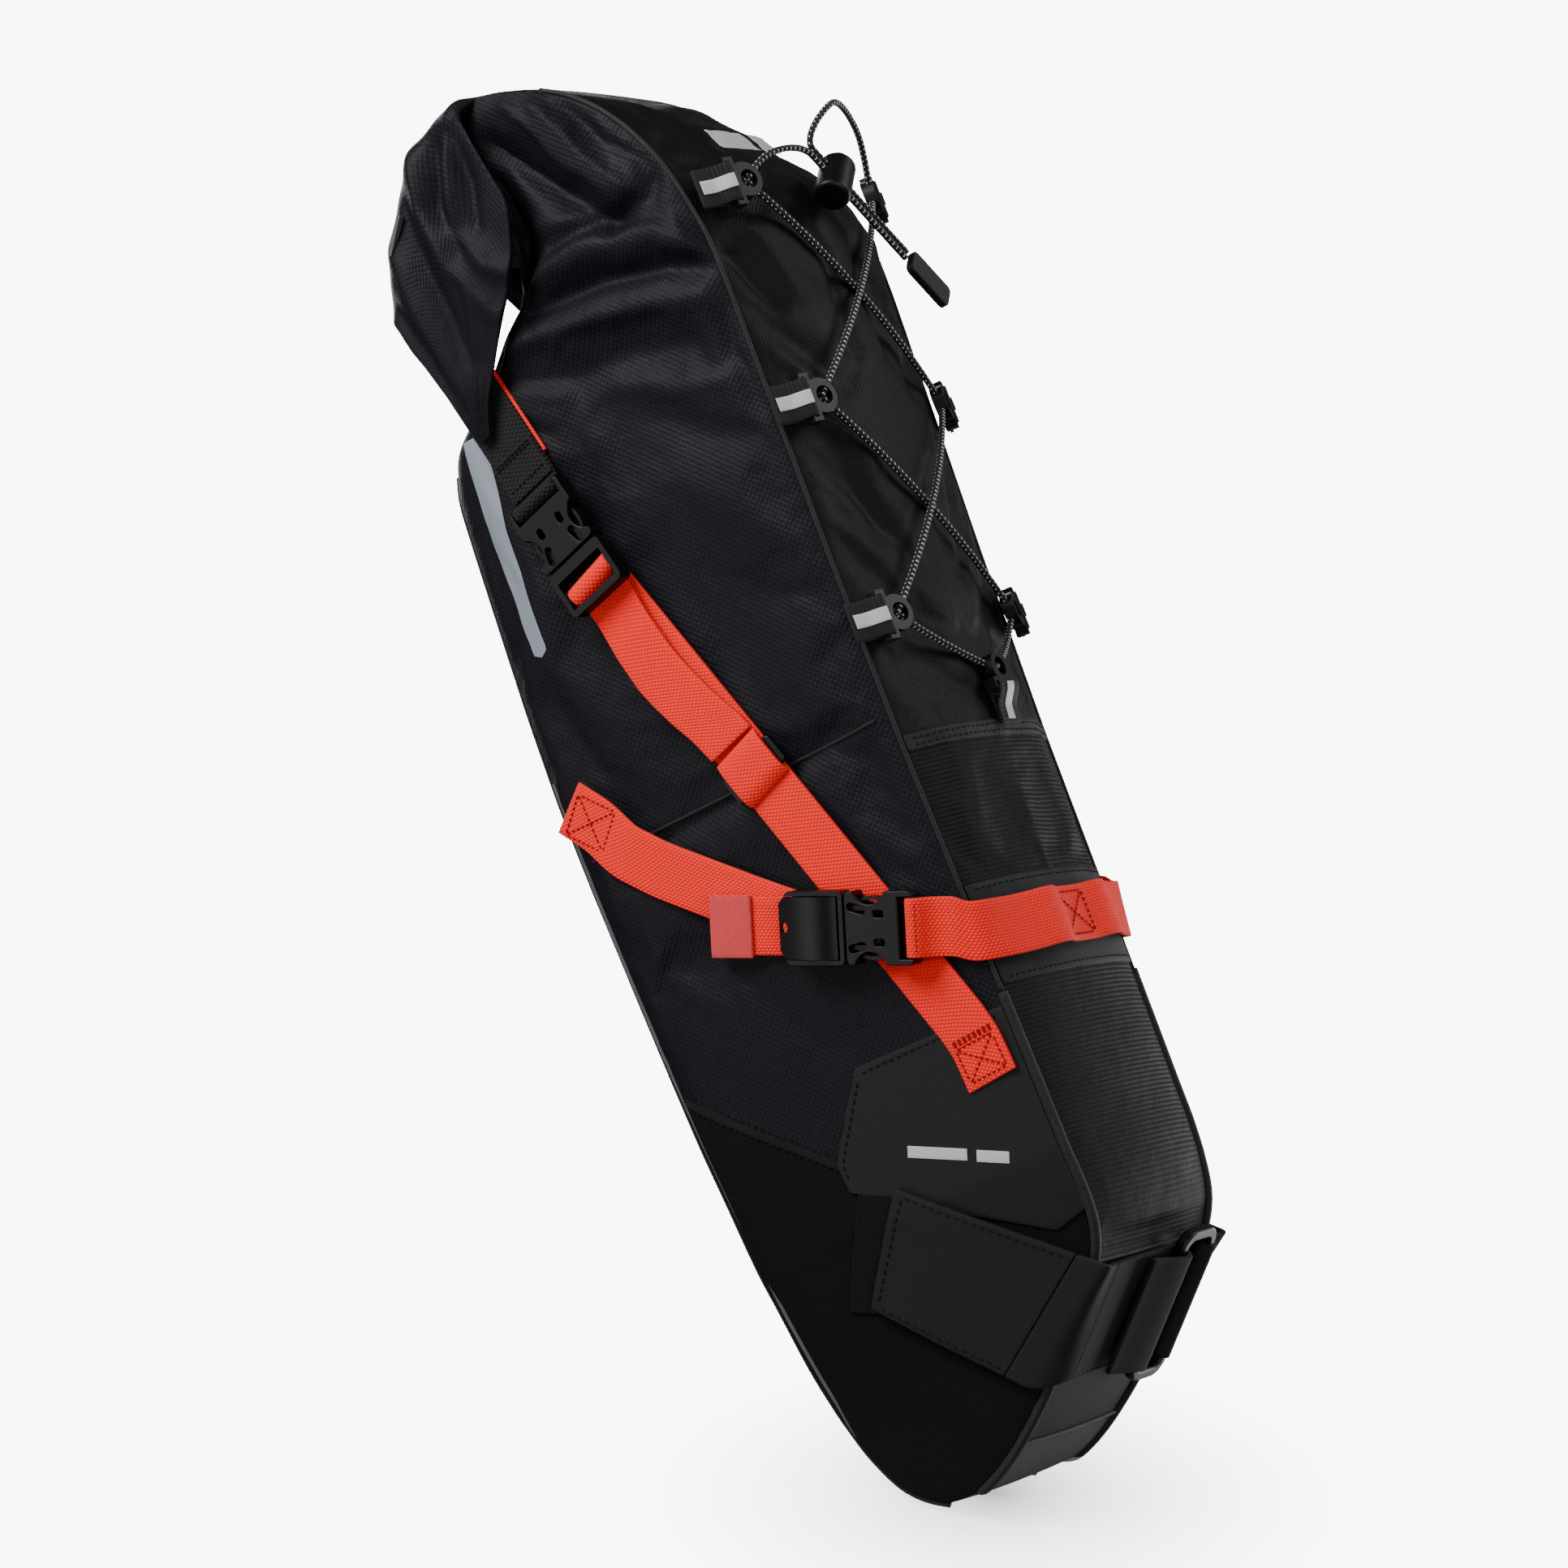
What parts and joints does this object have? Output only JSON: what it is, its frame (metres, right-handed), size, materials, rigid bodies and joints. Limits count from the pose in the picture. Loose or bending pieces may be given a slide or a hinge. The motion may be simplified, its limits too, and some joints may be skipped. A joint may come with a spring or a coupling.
{
  "type": "saddle bag",
  "caption": "Tapered roll-top bikepacking saddle bag with rail straps, side-release buckles, bungee lacing and a hook-and-loop seatpost strap.",
  "frame": {"origin": "centre of the face that bears on the seatpost, under the seatpost strap", "axes": "+Z runs from the nose to the tail (it stands nose down), -Y faces the saddle rails, +Y is the underside, -X is the rider's right side"},
  "size_m": [0.184, 0.2207, 0.638],
  "materials": {
    "fabric": "ripstop weave, light sheen",
    "fabric_ribbed": "fine crosswise ribs",
    "boot_fabric": "coarse coated weave, matt",
    "coated_patch": "smooth rubber-like coating",
    "red_webbing": "ribbed webbing",
    "coral_tab": "brushed hook-and-loop",
    "black_webbing": "ribbed webbing",
    "hook_loop": "fuzzy loop pile",
    "black_plastic": "moulded satin plastic",
    "stiffener": "flat sheet",
    "reflective": "grey reflective print",
    "cord": "braided elastic with pale flecks",
    "spring_steel": "bright wire",
    "strap_neoprene": "rubberised strap"
  },
  "bodies": {
    "bag": {"side_panel_upper_right": "fabric", "side_panel_upper_left": "fabric", "side_panel_lower_right": "fabric", "side_panel_lower_left": "fabric", "nose_boots": "boot_fabric", "top_panel_upper": "fabric", "top_panel_lower": "fabric_ribbed", "reinforcement_band": "coated_patch", "seatpost_panel": "fabric", "tip_panel": "boot_fabric", "underside_panel": "boot_fabric", "base_stiffener": "stiffener", "tail_collar": "fabric", "compression_straps": "red_webbing", "lower_rail_straps": "red_webbing", "tail_buckle_plug_right": "black_plastic", "tail_buckle_plug_left": "black_plastic", "rail_buckle_socket_right": "black_plastic", "rail_buckle_socket_left": "black_plastic", "rail_strap": "red_webbing", "hook_patches": "hook_loop", "seatpost_strap_left": "strap_neoprene", "seatpost_strap_front": "strap_neoprene", "cord_guides": "black_plastic", "guide_loops": "black_webbing", "bungee_cord": "cord", "side_patches": "coated_patch", "reflective_stripes": "reflective", "edge_piping": "black_webbing"},
    "roll": {"roll_closure": "fabric", "roll_stiffener": "stiffener", "tail_webbing_right": "black_webbing", "tail_webbing_left": "black_webbing", "tail_buckle_socket_right": "black_plastic", "tail_buckle_socket_left": "black_plastic"},
    "strap_tongue": {"seatpost_strap_tongue": "strap_neoprene"},
    "strap_ring": {"strap_ring": "black_plastic"},
    "cord_lock": {"cord_lock_body": "black_plastic", "cord_lock_spring": "spring_steel"},
    "cord_lock_button": {"cord_lock_button": "black_plastic"},
    "pull_tab": {"pull_tab": "black_plastic"},
    "tail_arm_a_right": {"tail_buckle_arm_a_right": "black_plastic"},
    "tail_arm_b_right": {"tail_buckle_arm_b_right": "black_plastic"},
    "rail_plug_right": {"rail_buckle_plug_right": "black_plastic", "rail_strap_tail_right": "red_webbing"},
    "rail_arm_a_right": {"rail_buckle_arm_a_right": "black_plastic"},
    "rail_arm_b_right": {"rail_buckle_arm_b_right": "black_plastic"},
    "cam_right": {"rail_buckle_cam_right": "black_plastic"},
    "keeper_right": {"keeper_tab_right": "coral_tab"},
    "tri_glide_right": {"tri_glide_right": "black_plastic"},
    "tail_arm_a_left": {"tail_buckle_arm_a_left": "black_plastic"},
    "tail_arm_b_left": {"tail_buckle_arm_b_left": "black_plastic"},
    "rail_plug_left": {"rail_buckle_plug_left": "black_plastic", "rail_strap_tail_left": "red_webbing"},
    "rail_arm_a_left": {"rail_buckle_arm_a_left": "black_plastic"},
    "rail_arm_b_left": {"rail_buckle_arm_b_left": "black_plastic"},
    "cam_left": {"rail_buckle_cam_left": "black_plastic"},
    "keeper_left": {"keeper_tab_left": "coral_tab"},
    "tri_glide_left": {"tri_glide_left": "black_plastic"}
  },
  "joints": [
    {"name": "roll_release", "type": "slide", "parent": "bag", "child": "roll", "axis": [0, 0.2425, 0.9701], "range_m": [0, 0.035]},
    {"name": "tail_arm_a_right_press", "type": "hinge", "parent": "bag", "child": "tail_arm_a_right", "pos_m": [-0.08143, 0.06704, 0.38223], "axis": [-1, 0, 0], "range_deg": [0, 5]},
    {"name": "tail_arm_b_right_press", "type": "hinge", "parent": "bag", "child": "tail_arm_b_right", "pos_m": [-0.08143, 0.08315, 0.3782], "axis": [1, 0, 0], "range_deg": [0, 5]},
    {"name": "rail_buckle_right_release", "type": "slide", "parent": "bag", "child": "rail_plug_right", "axis": [-0.0135, 0.9274, 0.3737], "range_m": [0, 0.025]},
    {"name": "rail_arm_a_right_press", "type": "hinge", "parent": "rail_plug_right", "child": "rail_arm_a_right", "pos_m": [-0.07293, 0.02234, 0.17717], "axis": [-0.9993, 0, -0.0362], "range_deg": [0, 5]},
    {"name": "rail_arm_b_right_press", "type": "hinge", "parent": "rail_plug_right", "child": "rail_arm_b_right", "pos_m": [-0.07349, 0.01613, 0.19255], "axis": [0.9993, 0, 0.0362], "range_deg": [0, 5]},
    {"name": "cam_right_open", "type": "hinge", "parent": "rail_plug_right", "child": "cam_right", "pos_m": [-0.07479, 0.02471, 0.18701], "axis": [-0.0336, -0.374, 0.9268], "range_deg": [0, 65]},
    {"name": "keeper_right_open", "type": "hinge", "parent": "rail_plug_right", "child": "keeper_right", "pos_m": [-0.06966, 0.08406, 0.21115], "axis": [0.0336, 0.374, -0.9268], "range_deg": [0, 120]},
    {"name": "tri_glide_right_slide", "type": "slide", "parent": "bag", "child": "tri_glide_right", "axis": [0.0343, -0.3239, -0.9455], "range_m": [0, 0.022]},
    {"name": "tail_arm_a_left_press", "type": "hinge", "parent": "bag", "child": "tail_arm_a_left", "pos_m": [0.08143, 0.06704, 0.38223], "axis": [-1, 0, 0], "range_deg": [0, 5]},
    {"name": "tail_arm_b_left_press", "type": "hinge", "parent": "bag", "child": "tail_arm_b_left", "pos_m": [0.08143, 0.08315, 0.3782], "axis": [1, 0, 0], "range_deg": [0, 5]},
    {"name": "rail_buckle_left_release", "type": "slide", "parent": "bag", "child": "rail_plug_left", "axis": [0.0135, 0.9274, 0.3737], "range_m": [0, 0.025]},
    {"name": "rail_arm_a_left_press", "type": "hinge", "parent": "rail_plug_left", "child": "rail_arm_a_left", "pos_m": [0.07293, 0.02234, 0.17717], "axis": [-0.9993, 0, 0.0362], "range_deg": [0, 5]},
    {"name": "rail_arm_b_left_press", "type": "hinge", "parent": "rail_plug_left", "child": "rail_arm_b_left", "pos_m": [0.07349, 0.01613, 0.19255], "axis": [0.9993, 0, -0.0362], "range_deg": [0, 5]},
    {"name": "cam_left_open", "type": "hinge", "parent": "rail_plug_left", "child": "cam_left", "pos_m": [0.07479, 0.02471, 0.18701], "axis": [-0.0336, 0.374, -0.9268], "range_deg": [0, 65]},
    {"name": "keeper_left_open", "type": "hinge", "parent": "rail_plug_left", "child": "keeper_left", "pos_m": [0.06966, 0.08406, 0.21115], "axis": [0.0336, -0.374, 0.9268], "range_deg": [0, 120]},
    {"name": "tri_glide_left_slide", "type": "slide", "parent": "bag", "child": "tri_glide_left", "axis": [-0.0343, -0.3239, -0.9455], "range_m": [0, 0.022]},
    {"name": "strap_tongue_peel", "type": "hinge", "parent": "bag", "child": "strap_tongue", "pos_m": [-0.05555, 0.0045, 0.006], "axis": [-0.1068, -0.7936, 0.599], "range_deg": [0, 55]},
    {"name": "ring_swing", "type": "hinge", "parent": "bag", "child": "strap_ring", "pos_m": [0.013, -0.00528, -0.00587], "axis": [0, 0.7433, -0.669], "range_deg": [0, 8]},
    {"name": "cord_lock_slide", "type": "slide", "parent": "bag", "child": "cord_lock", "axis": [0.707, -0.0095, -0.7071], "range_m": [0, 0.012], "stiffness_N_per_m": 60},
    {"name": "cord_lock_press", "type": "slide", "parent": "cord_lock", "child": "cord_lock_button", "axis": [-0.7071, 0.0095, -0.7071], "range_m": [0, 0.0025], "stiffness_N_per_m": 400, "springref_m": -0.001},
    {"name": "pull_tab_swing", "type": "hinge", "parent": "bag", "child": "pull_tab", "pos_m": [0.03645, -0.0686, 0.45639], "axis": [-0.7071, 0.0095, -0.7071], "range_deg": [0, 60]}
  ]
}
